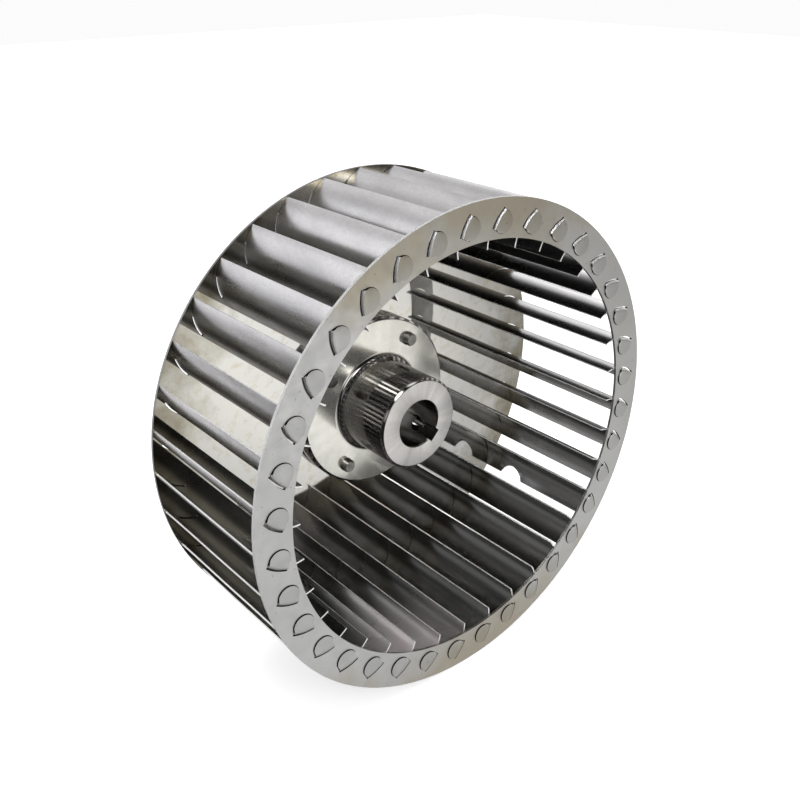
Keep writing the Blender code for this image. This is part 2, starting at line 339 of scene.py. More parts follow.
def satin_sheet(name, tone):
    """Satin stainless: soft clouds of gloss, a fine grain, and a warmer, darker tone at top and
    foot.
    """
    finish, shader = steel(name)
    links = finish.node_tree.links
    clouds = noise(finish, (1, 1, 1), 22.0, detail=4.0, warp=0.4)
    dark = (0.68 * tone, 0.68 * tone, 0.67 * tone)
    light = (0.75 * tone, 0.75 * tone, 0.74 * tone)
    clean = blended(finish, ranged(finish, clouds, 0.3, 0.7), dark, light)
    place = add_node(finish, "ShaderNodeTexCoord")
    parts = add_node(finish, "ShaderNodeSeparateXYZ")
    links.new(place.outputs["Object"], parts.inputs["Vector"])
    height = finish.node_tree.nodes.new("ShaderNodeMath")
    height.operation = "ABSOLUTE"
    links.new(parts.outputs["Z"], height.inputs[0])
    drift = drifted(finish, height.outputs["Value"], clouds, 0.12)
    top_and_foot = blended(finish, ranged(finish, drift, 0.155, 0.19),
                   (1.0, 1.0, 1.0), (0.78, 0.72, 0.60))
    specks = noise(finish, (1, 1, 1), 520.0, detail=3.0)
    speckled = blended(finish, ranged(finish, specks, 0.67, 0.75),
                       (1.0, 1.0, 1.0), (0.62, 0.60, 0.57))
    colour = multiplied(finish, multiplied(finish, clean, top_and_foot), speckled)
    streaks = noise(finish, (1, 1, 1), 160.0, detail=5.0)
    roughness = ranged(finish, streaks, 0.25, 0.75, 0.30, 0.46)
    # The cut rim is paler than the face, at 0.95: a painted highlight along the sheet's outer edge.
    with_cut_rim(finish, shader, colour, roughness, rim_tone=0.95)
    grain = noise(finish, (1, 1, 1), 1800.0, detail=2.0)
    bumped(finish, shader, (clouds, 0.0004, 0.25), (grain, 0.00003, 0.5))
    return finish


def mirror_sheet():
    """Bright rolled stainless, nearly a mirror, with brown stains that thicken to the rim."""
    finish, shader = steel("mirror_sheet")
    clouds = noise(finish, (1, 1, 1), 16.0, detail=4.0, warp=0.6)
    clean = blended(finish, ranged(finish, clouds, 0.35, 0.7),
                    (0.66, 0.66, 0.64), (0.72, 0.71, 0.66))
    patches = noise(finish, (1, 1, 1), 60.0, detail=5.0)
    spread = drifted(finish, distance_out(finish), patches, 0.07)
    stain = blended(finish, ranged(finish, spread, 0.143, 0.185),
                    (1.0, 1.0, 1.0), (0.34, 0.30, 0.20))
    specks = noise(finish, (1, 1, 1), 170.0, detail=6.0, rough=0.7)
    speckled = blended(finish, ranged(finish, specks, 0.52, 0.72),
                       (1.0, 1.0, 1.0), (0.84, 0.78, 0.66))
    colour = multiplied(finish, multiplied(finish, clean, stain), speckled)
    roughness = ranged(finish, patches, 0.25, 0.75, 0.015, 0.05)
    with_cut_rim(finish, shader, colour, roughness, rim_tone=0.30)
    waves = noise(finish, (1, 1, 1), 9.0, detail=1.0)
    bumped(finish, shader, (waves, 0.0002, 0.25))
    return finish


ring_mesh = slotted_band(EYE_RADIUS, RIM_RADIUS, (RING_FRONT + RING_REAR) / 2, RING_SLIT)
inlet_ring = surface("inlet_ring", *ring_mesh, merge=SEAM)
thicken(inlet_ring, RING_REAR - RING_FRONT)
inlet_ring.data.materials.append(satin_sheet("satin_sheet", 1.0))
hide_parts("front_ring")
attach(inlet_ring, "root")

DISC_MIDDLE = (DISC_FRONT + DISC_REAR) / 2
disc_mesh = two_meshes(slotted_band(EYE_RADIUS, RIM_RADIUS, DISC_MIDDLE, DISC_SLIT),
                       plain_band(SEAT_RADIUS, EYE_RADIUS, DISC_MIDDLE, BAND_STEPS))
back_disc = surface("back_plate", *disc_mesh, merge=SEAM)
thicken(back_disc, DISC_REAR - DISC_FRONT)
back_disc.data.materials.append(mirror_sheet())
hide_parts("back_disc")
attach(back_disc, "root")


# Blades. Each is a strip of 1 mm bright rolled stainless bent to an arc, with a D-shaped tab at
# both ends. The tab goes through its slot and is folded flat towards the hollow side, over a
# shallow bed in the plate. No two blades are quite alike, and one has a notch in its tip.

# The strip: the degrees round its arc, its play between the plates, its waves and broken edges,
# how unevenly the blades stand, and the steps of its grid.
ARC_OUTER, ARC_INNER = 107.0, 186.9
BLADE_GAP = 0.0002
BLADE_FRONT = RING_REAR + BLADE_GAP
BLADE_REAR = DISC_FRONT - BLADE_GAP
WAVE_HEIGHT = 0.00006
EDGE_BREAK = 0.0002
CLOCK_SPREAD = 0.06
PLAIN_STEPS = 9
LENGTH_STEPS = 16

# The tab: its bend, the half circle that ends it, how it lies on the plate, and its steps.
BEND_RADIUS = 0.0011
TAB_STRAIGHT = 0.0034
TAB_ROUND = 0.0059
TAB_LEAN = 0.0004
TAB_GAP = 0.0001
TAB_SINK = 0.0003
TAB_STEPS = 14
STEM_STEPS = 2
BEND_STEPS = 5
FLAP_STEPS = 5

# The bed under the tab, and the depths between which a plate's face is a bed's or a slot's.
BED_DEPTH = 0.0008
BED_MARGIN = 0.0003
BED_TOP = 0.001
BED_STEPS, BED_SIDE_STEPS = 25, 9
BED_CREASE = math.radians(35)
WALL_TOP, WALL_BOTTOM = 0.0003, 0.0014
WALL_MARGIN = 0.001

# How far a face's normal leans to the axis on a tab and on a bend, and the cutting tools.
FLAT_LEAN, BENT_LEAN = 0.97, 0.25
CREASE = math.radians(24)
CLEAN_SEAM = 0.0000001
BAR_SIDES = 48
ROWS_A_TURN = 8

# The notch, and the painted light that pales the lowest hollows: its middle, and where it fades
# out.
NOTCHED_BLADE = 13
NOTCH_RADIUS = 0.01025
NOTCH_CLOCK = 131.7
NOTCH_DEPTH = RING_FRONT + 0.0728
NOTCH_INNER, NOTCH_OUTER = 0.130, 0.160
NOTCH_STEP = 0.004
PAINTED_LIGHT_PLACE = (-0.045, -0.052, -0.130)
PAINTED_LIGHT_NEAR, PAINTED_LIGHT_FAR = 0.024, 0.066
chance = np.random.default_rng(36)


def arc_points(angle, depth):
    """The blade's middle line at twelve o'clock: an arc about its centre, at a depth along Y."""
    turn = np.radians(angle)
    return np.stack(np.broadcast_arrays(
        ARC_ACROSS + ARC_RADIUS * np.cos(turn), depth, ARC_OUT + ARC_RADIUS * np.sin(turn)), -1)


def flap_outline(share, margin=0.0):
    """The far edge of a folded tab: a half circle, from the outer corner (0) to the inner (1)."""
    corners = arc_points(np.array([TAB_OUTER, TAB_INNER]), 0.0)
    along = corners[0] - corners[1]
    along /= np.linalg.norm(along)
    inwards = np.array([-along[2], 0.0, along[0]])
    inwards *= np.sign(inwards[0])
    middle = corners.mean(axis=0) + inwards * TAB_STRAIGHT + along * TAB_LEAN
    turn = (np.pi * share)[:, None]
    reach = TAB_ROUND + margin
    return middle + reach * (np.cos(turn) * along + np.sin(turn) * inwards), inwards


def folded_tab(edge, seat, outwards):
    """A tab's rows of points, from the blade's edge through the slot and down onto the plate.

    Straight out along Y, then a quarter bend, then to the half circle of flap_outline, sinking
    by TAB_SINK on the way.
    """
    share = np.linspace(0.0, 1.0, TAB_STEPS + 1)
    far, inwards = flap_outline(share)
    start = edge[:, 1].mean()
    bend_start = seat - outwards * BEND_RADIUS
    rows = []
    for step in range(1, STEM_STEPS + 1):
        row = edge.copy()
        row[:, 1] = start + (bend_start - start) * step / STEM_STEPS
        rows.append(row)
    for step in range(1, BEND_STEPS + 1):
        turn = math.pi / 2 * step / BEND_STEPS
        row = edge + inwards * BEND_RADIUS * (1 - math.cos(turn))
        row[:, 1] = bend_start + outwards * BEND_RADIUS * math.sin(turn)
        rows.append(row)
    base = rows[-1]
    for step in range(1, FLAP_STEPS + 1):
        reach = step / FLAP_STEPS
        row = base * (1 - reach) + far * reach
        row[:, 1] = seat - outwards * TAB_SINK * reach
        rows.append(row)
    return np.stack(rows)


def blade_surface():
    """Points and faces of one blade's middle surface at twelve o'clock.

    The strip is a grid of arc angle by depth, pushed in and out by a shallow wave. Each tab
    is a second grid that starts on the strip's own edge.
    """
    angle = np.concatenate([
        np.linspace(ARC_OUTER, TAB_OUTER, PLAIN_STEPS, endpoint=False),
        np.linspace(TAB_OUTER, TAB_INNER, TAB_STEPS, endpoint=False),
        np.linspace(TAB_INNER, ARC_INNER, PLAIN_STEPS + 1)])
    depth = np.linspace(BLADE_FRONT, BLADE_REAR, LENGTH_STEPS + 1)
    strip = arc_points(angle[None, :], depth[:, None])
    phase = chance.uniform(0.0, 2 * np.pi, 3)
    along = (depth[:, None] - BLADE_FRONT) / (BLADE_REAR - BLADE_FRONT)
    across = (angle[None, :] - ARC_OUTER) / (ARC_INNER - ARC_OUTER)
    wave = (np.sin(5 * along + phase[0]) * np.sin(4 * across + phase[1])
            + 0.5 * np.sin(11 * along + 3 * across + phase[2]))
    wave = wave * np.sin(np.pi * along) * WAVE_HEIGHT
    turn = np.radians(angle)[None, :]
    strip[..., 0] += wave * np.cos(turn)
    strip[..., 2] += wave * np.sin(turn)
    columns = len(angle)
    tab = slice(PLAIN_STEPS, PLAIN_STEPS + TAB_STEPS + 1)
    points, faces = [strip.reshape(-1, 3)], [grid_faces(LENGTH_STEPS + 1, columns)]
    seats = ((RING_FRONT - TAB_GAP - SHEET / 2, -1.0, strip[0]),
             (DISC_REAR + TAB_GAP + SHEET / 2, 1.0, strip[-1]))
    for seat, outwards, edge in seats:
        rows = folded_tab(edge[tab], seat, outwards)
        whole = np.concatenate([edge[None, tab], rows])
        faces.append(grid_faces(len(whole), TAB_STEPS + 1) + sum(len(part) for part in points))
        points.append(whole.reshape(-1, 3))
    return np.concatenate(points), np.concatenate(faces)


def thread_bar(start, end, core, crest, pitch):
    """Points and faces of a closed threaded bar along +Z, from start to end.

    The radius rises and falls between core and crest as a triangle wave of z / pitch less the
    share of a turn, which is a helix. The wave's peaks and troughs are cut off flat.
    """
    rows = int((end - start) / pitch * ROWS_A_TURN) + 1
    z = np.linspace(start, end, rows)[:, None]
    turn = 2 * np.pi * np.arange(BAR_SIDES) / BAR_SIDES
    ridge = np.abs(2 * ((z / pitch - turn[None] / (2 * np.pi)) % 1.0) - 1)
    radius = core + (crest - core) * np.clip(1.25 * ridge - 0.125, 0, 1)
    points = np.stack(np.broadcast_arrays(
        radius * np.cos(turn), radius * np.sin(turn), z), axis=-1)
    middle = points.mean(axis=1)
    points = np.concatenate([np.repeat(middle[:1, None], BAR_SIDES, axis=1), points,
                             np.repeat(middle[-1:, None], BAR_SIDES, axis=1)])
    return points, grid_faces(rows + 2, BAR_SIDES, wrap_columns=True)


def cutter(name, points, faces):
    """A closed shape that is cut out of another and then thrown away."""
    return surface(name, points, faces, merge=CLEAN_SEAM)


def carve(piece, tool):
    """Finish a piece's modifiers, cut a closed shape out of it for good, and remove the tool."""
    cut = piece.modifiers.new("cut", "BOOLEAN")
    cut.solver = "EXACT"
    cut.object = tool
    carved = bpy.data.meshes.new_from_object(
        piece.evaluated_get(bpy.context.evaluated_depsgraph_get()))
    piece.modifiers.clear()
    piece.data = carved
    bpy.data.objects.remove(tool)


def facet_facts(piece):
    """The normal and the centre of each of a piece's faces."""
    facts = []
    for fact in ("normal", "center"):
        numbers = np.zeros(len(piece.data.polygons) * 3)
        piece.data.polygons.foreach_get(fact, numbers)
        facts.append(numbers.reshape(-1, 3))
    return facts


def bed_tool(clocks, face, outwards):
    """Closed D-shaped blocks, one for each tab, that sink the tabs' beds into a plate's face.

    Each is the flap's outline with a margin round its curve, swept along Y from BED_TOP above
    the face to BED_DEPTH below it, and closed by fans about its middle.
    """
    far, inwards = flap_outline(np.linspace(0.0, 1.0, BED_STEPS), BED_MARGIN)
    near_angle = np.linspace(TAB_INNER + SLOT_END, TAB_OUTER - SLOT_END, BED_SIDE_STEPS)
    near = arc_points(near_angle, 0.0)
    outline = np.concatenate([far, near])
    middle = np.broadcast_to(outline.mean(axis=0), outline.shape)
    rows = np.stack([middle, outline, outline, middle])
    rows[..., 1] = face + outwards * np.array([[BED_TOP], [BED_TOP], [-BED_DEPTH], [-BED_DEPTH]])
    points = turned_to(rows[None], np.array(clocks)[:, None, None])
    cells = grid_faces(4, len(outline), wrap_columns=True)
    starts = 4 * len(outline) * np.arange(len(clocks))[:, None, None]
    return cutter("bed_tool", points, (cells[None] + starts).reshape(-1, 4))


def blade_skin():
    """The blades' outer side: cool grey satin, mottled with haze, fine grain, painted shade at the
    root.
    """
    finish, shader = steel("blade_skin")
    links = finish.node_tree.links
    clouds = noise(finish, (1, 0.5, 1), 30.0, detail=5.0, warp=0.5)
    clean = blended(finish, ranged(finish, clouds, 0.3, 0.7),
                    (0.58, 0.57, 0.585), (0.76, 0.745, 0.76))
    reach = distance_out(finish)
    # Painted light and shade: the colour rises towards the tip and falls to a third at the root,
    # where the next blade shades the skin.
    tip = blended(finish, ranged(finish, reach, 0.128, 0.1395),
                  (0.80, 0.80, 0.80), (0.96, 0.96, 0.96))
    root = blended(finish, ranged(finish, reach, 0.116, 0.130),
                   (0.36, 0.36, 0.36), (1.0, 1.0, 1.0))
    grit = noise(finish, (1, 0.5, 1), 700.0, detail=4.0, rough=0.75)
    gritty = blended(finish, ranged(finish, grit, 0.3, 0.7),
                     (0.90, 0.90, 0.90), (1.05, 1.05, 1.05))
    links.new(multiplied(finish, multiplied(finish, clean, gritty), multiplied(finish, tip, root)),
              shader.inputs["Base Color"])
    haze = noise(finish, (1, 0.35, 1), 90.0, detail=6.0, rough=0.65)
    links.new(ranged(finish, haze, 0.3, 0.7, 0.22, 0.38), shader.inputs["Roughness"])
    grain = noise(finish, (1, 0.4, 1), 700.0, detail=4.0, rough=0.7)
    bumped(finish, shader, (haze, 0.0001, 0.12), (grain, 0.0001, 0.2))
    return finish


def blade_hollow():
    """The hollow side: glossy, in painted shade, with painted light on the lowest blades' front
    half.
    """
    finish, shader = steel("blade_hollow")
    links = finish.node_tree.links
    clouds = noise(finish, (1, 0.5, 1), 30.0, detail=5.0, warp=0.5)
    # Painted shade: the base is darker than the outer side's, for the shade inside the wheel.
    clean = blended(finish, ranged(finish, clouds, 0.3, 0.7),
                    (0.32, 0.325, 0.315), (0.42, 0.42, 0.41))
    place = add_node(finish, "ShaderNodeTexCoord")
    apart = finish.node_tree.nodes.new("ShaderNodeVectorMath")
    apart.operation = "DISTANCE"
    apart.inputs[1].default_value = PAINTED_LIGHT_PLACE
    links.new(place.outputs["Object"], apart.inputs[0])
    # Painted light: near a point in the lowest hollows the colour pales and the metal turns partly
    # matt.
    pale = blended(finish, ranged(finish, apart.outputs["Value"], PAINTED_LIGHT_NEAR, PAINTED_LIGHT_FAR),
                   (1.8, 1.64, 1.70), (1.0, 1.0, 1.0))
    links.new(multiplied(finish, clean, pale), shader.inputs["Base Color"])
    links.new(ranged(finish, apart.outputs["Value"], PAINTED_LIGHT_NEAR, PAINTED_LIGHT_FAR, 0.58, 1.0),
              shader.inputs["Metallic"])
    haze = noise(finish, (1, 0.6, 1), 70.0, detail=5.0)
    links.new(ranged(finish, haze, 0.25, 0.75, 0.20, 0.28), shader.inputs["Roughness"])
    waves = noise(finish, (1, 0.3, 1), 60.0, detail=3.0)
    bumped(finish, shader, (waves, 0.0001, 0.3))
    return finish


def cut_edge():
    """The blades' sheared edges: bright, and rough enough to catch light from all round."""
    finish, shader = steel("cut_edge")
    links = finish.node_tree.links
    nicks = noise(finish, (1, 0.1, 1), 800.0, detail=3.0)
    links.new(blended(finish, ranged(finish, nicks, 0.3, 0.7),
                      (0.80, 0.80, 0.79), (0.98, 0.98, 0.97)), shader.inputs["Base Color"])
    links.new(ranged(finish, nicks, 0.3, 0.7, 0.30, 0.42), shader.inputs["Roughness"])
    shader.inputs["Metallic"].default_value = 0.5
    return finish


def bend_painted_highlight():
    """The tabs' bends: pale, and dull enough to look lit: a painted highlight along each ridge."""
    finish, shader = steel("bend_painted_highlight")
    bend_mottle = noise(finish, (1, 1, 1), 500.0, detail=3.0)
    finish.node_tree.links.new(blended(finish, ranged(finish, bend_mottle, 0.3, 0.7),
                                       (0.88, 0.88, 0.87), (1.0, 1.0, 0.99)),
                               shader.inputs["Base Color"])
    finish.node_tree.links.new(ranged(finish, bend_mottle, 0.3, 0.7, 0.42, 0.55),
                               shader.inputs["Roughness"])
    return finish


def slot_painted_shade():
    """The beds' and slots' walls and the tabs' edges: near black, painted shade in the crevices."""
    finish, shader = steel("slot_painted_shade")
    grit = noise(finish, (1, 1, 1), 900.0, detail=3.0)
    finish.node_tree.links.new(blended(finish, ranged(finish, grit, 0.3, 0.7),
                                       (0.02, 0.02, 0.018), (0.09, 0.085, 0.075)),
                               shader.inputs["Base Color"])
    shader.inputs["Roughness"].default_value = 0.5
    return finish


# The tabs take the ring's satin at 0.86 of its tone, a darker copy that is painted shade for the
# flaps.
shaded_tab_finish = satin_sheet("shaded_tab_sheet", 0.86)
hollow = blade_hollow()
painted_shade, bend_finish = slot_painted_shade(), bend_painted_highlight()
# A face takes finish 0 on the strip, 3 on a tab and 5 on a bend. The sheet's edge takes the next
# one, and its other side the one after that.
# A tab's edge takes finish 4, the near-black painted shade.
blade_finishes = (blade_skin(), cut_edge(), hollow, shaded_tab_finish, painted_shade, bend_finish, bend_finish,
                  hollow)
blade_clocks = []
for number in range(BLADES):
    points, faces = blade_surface()
    clock = FIRST_CLOCK + PITCH * number + chance.normal(0.0, CLOCK_SPREAD)
    blade = surface(f"bent_blade_{number + 1:02d}", turned_to(points, clock), faces, merge=SEAM)
    facet = blade.data.polygons[0]
    arc_centre = turned_to(np.array([ARC_ACROSS, facet.center.y, ARC_OUT]), clock)
    if facet.normal.dot(facet.center - Vector(arc_centre)) < 0:
        blade.data.flip_normals()
    lean = np.abs(facet_facts(blade)[0][:, 1])
    kinds = np.select([lean > FLAT_LEAN, lean > BENT_LEAN], [3, 5], 0)
    blade.data.polygons.foreach_set("material_index", kinds.astype("i"))
    blade_clocks.append(clock)
    thicken(blade, SHEET, EDGE_BREAK)
    blade.modifiers["thickness"].material_offset = 2
    for finish in blade_finishes:
        blade.data.materials.append(finish)
    if number + 1 == NOTCHED_BLADE:
        bar_points, bar_faces = thread_bar(NOTCH_INNER, NOTCH_OUTER, NOTCH_RADIUS, NOTCH_RADIUS,
                                           NOTCH_STEP)
        bar_points[..., 1] += NOTCH_DEPTH
        carve(blade, cutter("notch_tool", turned_to(bar_points, NOTCH_CLOCK), bar_faces))
        blade.data.set_sharp_from_angle(angle=CREASE)
    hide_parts(f"blade_{number + 1:02d}")
    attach(blade, "root")

# The beds are cut once every blade stands. Their walls and the slots' take the painted shade.
for plate, face, outwards in ((inlet_ring, RING_FRONT, -1.0), (back_disc, DISC_REAR, 1.0)):
    carve(plate, bed_tool(blade_clocks, face, outwards))
    normals, centres = facet_facts(plate)
    reach = np.hypot(centres[:, 0], centres[:, 2])
    depth = outwards * (face - centres[:, 1])
    sunk = (depth > WALL_TOP) & (depth < WALL_BOTTOM)
    walled = sunk & (reach > EYE_RADIUS + WALL_MARGIN) & (reach < RIM_RADIUS - WALL_MARGIN)
    plate.data.materials.append(painted_shade)
    plate.data.polygons.foreach_set("material_index", walled.astype("i"))
    plate.data.polygons.foreach_set("use_smooth", np.abs(normals[:, 1]) < FLAT_LEAN)
    plate.data.set_sharp_from_angle(angle=BED_CREASE)


# Hub. Turned from one bar of steel: barrel, flange and rear spigot, with chamfered edges and a
# small fillet at the barrel's root. The bore is keyed, and a tapped hole for a grub screw goes
# through the wall at the keyway. The flange takes four screws.

BARREL_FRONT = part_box("hub")[0].y
SPIGOT_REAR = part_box("hub")[1].y
BORE_RADIUS = 0.014
BORE_CHAMFER = 0.0007
BARREL_RADIUS = 0.0277
BARREL_CHAMFER = 0.0014
FLANGE_FRONT = RING_FRONT + 0.087
FLANGE_REAR = DISC_FRONT - 0.0003
FLANGE_RADIUS = 0.0529
FLANGE_CHAMFER = 0.0014
REAR_CHAMFER = 0.0005
FILLET = 0.004
CORNER = 0.0003
FILLET_STEPS = 17
ROUND_STEPS = 4
TURN_STEPS = 288

# The keyway, how far its cutter runs past both ends, and the grub screw's tapped hole.
KEY_CLOCK = 135.0
KEYWAY_WIDTH = 0.008
KEYWAY_REACH = 0.0173
KEY_OVERRUN = 0.002
GRUB_CLOCK = 130.6
GRUB_DEPTH = RING_FRONT + 0.0645
GRUB_INNER, GRUB_OUTER = 0.010, 0.030
GRUB_CORE, GRUB_CREST = 0.0043, 0.0050
GRUB_PITCH = 0.0015

# The flange's four holes.
SCREW_COUNT = 4
FIRST_SCREW_CLOCK = 36.1
SCREW_CIRCLE = 0.0425
HOLE_START, HOLE_END = -0.001, 0.012
HOLE_RADIUS = 0.00425
THREAD_PITCH = 0.00125

# Where each finish goes: faces that look along the axis, the front one's depth, the bore's reach.
FACE_LEAN = 0.95
FACE_MARGIN = 0.001
BORE_MARGIN = 0.0008


def softened(corners, reach):
    """A closed profile with each corner rounded off by a short curve.

    The curve is (1-t)^2 a + 2 t (1-t) c + t^2 b, from a to b about the corner c, where a and b
    lie within reach of it, and no further than a third of the way along each side.
    """
    corners = np.asarray(corners)
    t = np.linspace(0.0, 1.0, ROUND_STEPS)[:, None]
    ends = []
    for side in (np.roll(corners, 1, axis=0) - corners, np.roll(corners, -1, axis=0) - corners):
        length = np.linalg.norm(side, axis=1, keepdims=True)
        ends.append((corners + side / length * np.minimum(reach, length / 3))[:, None])
    middle = corners[:, None]
    curves = (1 - t) ** 2 * ends[0] + 2 * t * (1 - t) * middle + t ** 2 * ends[1]
    return curves.reshape(-1, 2)


def lathe(profile, steps):
    """Points and faces of a closed profile of (radius, y) swept about the Y axis.

    x = radius sin a and z = radius cos a, for evenly spaced angles a all the way round.
    """
    turn = 2 * np.pi * np.arange(steps) / steps
    radius, along = profile[:, 0, None], profile[:, 1, None]
    points = np.stack(np.broadcast_arrays(
        radius * np.sin(turn), along, radius * np.cos(turn)), axis=-1)
    return points, grid_faces(len(profile), steps, wrap_rows=True, wrap_columns=True)


def hub_profile():
    """The hub's closed section: bore, front face, barrel, fillet, flange and spigot."""
    turn = np.linspace(0.0, np.pi / 2, FILLET_STEPS)
    fillet = np.stack([BARREL_RADIUS + FILLET * (1 - np.cos(turn)),
                       FLANGE_FRONT - FILLET * (1 - np.sin(turn))], axis=-1)
    front = [(BORE_RADIUS, BARREL_FRONT + BORE_CHAMFER),
             (BORE_RADIUS + BORE_CHAMFER, BARREL_FRONT),
             (BARREL_RADIUS - BARREL_CHAMFER, BARREL_FRONT),
             (BARREL_RADIUS, BARREL_FRONT + BARREL_CHAMFER)]
    rear = [(FLANGE_RADIUS - FLANGE_CHAMFER, FLANGE_FRONT),
            (FLANGE_RADIUS, FLANGE_FRONT + FLANGE_CHAMFER),
            (FLANGE_RADIUS, FLANGE_REAR - REAR_CHAMFER),
            (FLANGE_RADIUS - REAR_CHAMFER, FLANGE_REAR),
            (BARREL_RADIUS, FLANGE_REAR),
            (BARREL_RADIUS, SPIGOT_REAR - REAR_CHAMFER),
            (BARREL_RADIUS - REAR_CHAMFER, SPIGOT_REAR),
            (BORE_RADIUS + BORE_CHAMFER, SPIGOT_REAR),
            (BORE_RADIUS, SPIGOT_REAR - BORE_CHAMFER)]
    crisp = softened(front + [tuple(fillet[0])], CORNER)[:-ROUND_STEPS]
    crisp_rear = softened([tuple(fillet[-1])] + rear, CORNER)[ROUND_STEPS:]
    return np.concatenate([crisp, fillet, crisp_rear])


hub_points, hub_faces = lathe(hub_profile(), TURN_STEPS)
hub = surface("turned_hub", hub_points, hub_faces, merge=CLEAN_SEAM)

key_corners = np.array([[x, y, z] for x in (-0.5, 0.5) for y in (0.0, 1.0) for z in (0.0, 1.0)])
key_corners *= (KEYWAY_WIDTH, SPIGOT_REAR - BARREL_FRONT + 2 * KEY_OVERRUN, KEYWAY_REACH)
key_corners[:, 1] += BARREL_FRONT - KEY_OVERRUN
key_faces = [(0, 1, 3, 2), (4, 6, 7, 5), (0, 4, 5, 1), (2, 3, 7, 6), (0, 2, 6, 4), (1, 5, 7, 3)]
carve(hub, cutter("key_tool", turned_to(key_corners, KEY_CLOCK), key_faces))

tap_points, tap_faces = thread_bar(GRUB_INNER, GRUB_OUTER, GRUB_CORE, GRUB_CREST, GRUB_PITCH)
tap_points[..., 1] += GRUB_DEPTH
carve(hub, cutter("grub_tool", turned_to(tap_points, GRUB_CLOCK), tap_faces))

for number in range(SCREW_COUNT):
    clock = FIRST_SCREW_CLOCK + number * 360.0 / SCREW_COUNT
    bar_points, bar_faces = thread_bar(HOLE_START, HOLE_END, HOLE_RADIUS, HOLE_RADIUS, THREAD_PITCH)
    along = bar_points[..., [0, 2, 1]]
    along[..., 1] += FLANGE_FRONT
    along[..., 2] += SCREW_CIRCLE
    carve(hub, cutter("hole_tool", turned_to(along, clock), bar_faces))

hub.data.shade_smooth()
hub.data.set_sharp_from_angle(angle=CREASE)


def turned_steel(name, light, dark, roughness, spin, sheen, metal=1.0):
    """Turned steel: fine tool rings round the axis, and a gloss that drifts from cut to cut.

    The rings are noise read at (distance from the axis, y), so they are circles on a face and
    hoops on a barrel. The sheen is noise read at the direction from the axis, and it paints into
    the colour the soft spokes of light that a faced end shows: a painted highlight. spin is how far
    the rings stretch reflections.
    """
    finish, shader = steel(name)
    links = finish.node_tree.links
    place = add_node(finish, "ShaderNodeTexCoord")
    parts = add_node(finish, "ShaderNodeSeparateXYZ")
    links.new(place.outputs["Object"], parts.inputs["Vector"])
    ring_place = add_node(finish, "ShaderNodeCombineXYZ")
    links.new(distance_out(finish), ring_place.inputs["X"])
    links.new(parts.outputs["Y"], ring_place.inputs["Y"])
    rings = add_node(finish, "ShaderNodeTexNoise", Scale=2600.0, Detail=3.0, Roughness=0.7)
    links.new(ring_place.outputs["Vector"], rings.inputs["Vector"])
    clouds = noise(finish, (1, 1, 1), 90.0, detail=5.0, warp=0.5)
    colour = blended(finish, ranged(finish, clouds, 0.3, 0.7), dark, light)
    if sheen:
        flat = finish.node_tree.nodes.new("ShaderNodeVectorMath")
        flat.operation = "MULTIPLY"
        flat.inputs[1].default_value = (1.0, 0.0, 1.0)
        around = finish.node_tree.nodes.new("ShaderNodeVectorMath")
        around.operation = "NORMALIZE"
        links.new(place.outputs["Object"], flat.inputs[0])
        links.new(flat.outputs["Vector"], around.inputs[0])
        spokes = add_node(finish, "ShaderNodeTexNoise", Scale=1.8, Detail=3.0, Roughness=0.5)
        links.new(around.outputs["Vector"], spokes.inputs["Vector"])
        colour = multiplied(finish, colour, blended(
            finish, ranged(finish, spokes.outputs["Fac"], 0.35, 0.68),
            (1.0 + sheen,) * 3, (1.0 - sheen,) * 3))
    links.new(colour, shader.inputs["Base Color"])
    links.new(ranged(finish, rings.outputs["Fac"], 0.3, 0.7, roughness * 0.85, roughness * 1.15),
              shader.inputs["Roughness"])
    bumped(finish, shader, (rings.outputs["Fac"], 0.00001, roughness / 3),
           (clouds, 0.0001, sheen))
    shader.inputs["Metallic"].default_value = metal
    shader.inputs["Anisotropic"].default_value = spin
    if spin:
        tangent = finish.node_tree.nodes.new("ShaderNodeTangent")
        tangent.direction_type = "RADIAL"
        tangent.axis = "Y"
        links.new(tangent.outputs["Tangent"], shader.inputs["Tangent"])
    return finish


hub_finishes = (
    turned_steel("polished_barrel", (0.36, 0.35, 0.34), (0.30, 0.29, 0.28),
                 roughness=0.09, spin=0.0, sheen=0.0),
    turned_steel("faced_end", (0.70, 0.685, 0.665), (0.60, 0.585, 0.565),
                 roughness=0.26, spin=0.6, sheen=0.20),
    turned_steel("faced_flange", (0.90, 0.89, 0.83), (0.78, 0.77, 0.70),
                 roughness=0.16, spin=0.3, sheen=0.08, metal=0.82),
    # The bore and the walls near the axis take a darker steel: painted shade inside the hole.
    turned_steel("bore_painted_shade", (0.20, 0.19, 0.18), (0.10, 0.10, 0.09),
                 roughness=0.20, spin=0.0, sheen=0.0))
for finish in hub_finishes:
    hub.data.materials.append(finish)
normals, centres = facet_facts(hub)
facing = np.abs(normals[:, 1]) > FACE_LEAN
near_front = centres[:, 1] < BARREL_FRONT + FACE_MARGIN
inside = ~facing & (np.hypot(centres[:, 0], centres[:, 2]) < KEYWAY_REACH + BORE_MARGIN)
kinds = np.select([facing & near_front, facing, inside], [1, 2, 3], 0)
hub.data.polygons.foreach_set("material_index", kinds.astype("i"))
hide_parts("hub")
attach(hub, "root")


# Flange screws. Plain hexagon screws, put in from behind the disc through tapped holes in the
# flange, so that their chamfered, threaded ends stand a few millimetres proud of its front.

